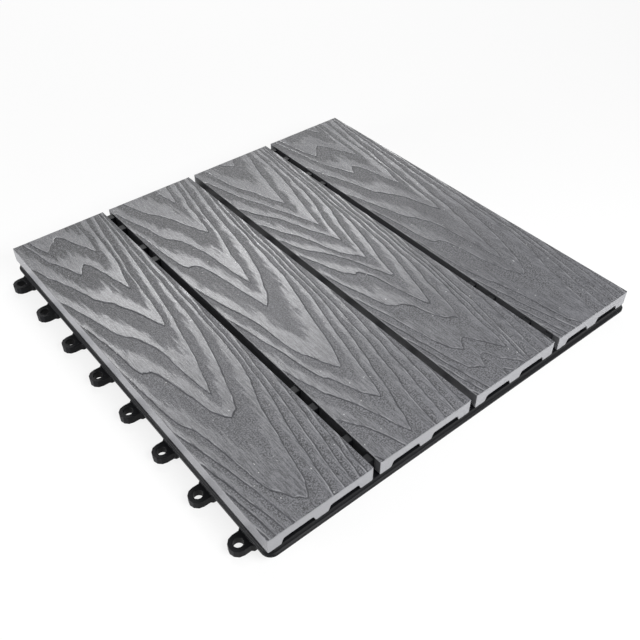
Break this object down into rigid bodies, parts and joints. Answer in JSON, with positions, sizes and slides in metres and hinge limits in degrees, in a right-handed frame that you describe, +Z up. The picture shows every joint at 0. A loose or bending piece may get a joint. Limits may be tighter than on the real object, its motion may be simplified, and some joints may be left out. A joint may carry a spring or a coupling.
{
  "type": "interlocking deck tile",
  "caption": "Square outdoor floor tile: grey wood-grain composite slats on a black plastic lattice base with interlocking loops and pins.",
  "frame": {"origin": "centre of the base's rim outline, on the ground plane under the feet", "axes": "+X across the slats, away from the side with loops; +Y along the slats, towards the rear side with loops; +Z up out of the walking face"},
  "size_m": [0.3085, 0.3107, 0.022],
  "materials": {
    "base_plastic": "moulded, fine grain",
    "slat_composite": "wood-plastic composite, embossed wood grain",
    "screw_steel": "zinc plated"
  },
  "bodies": {
    "root": {"tile_base": "base_plastic", "slat_1": "slat_composite", "slat_2": "slat_composite", "slat_3": "slat_composite", "slat_4": "slat_composite", "slat_1_screws": "screw_steel", "slat_2_screws": "screw_steel", "slat_3_screws": "screw_steel", "slat_4_screws": "screw_steel"}
  },
  "joints": []
}
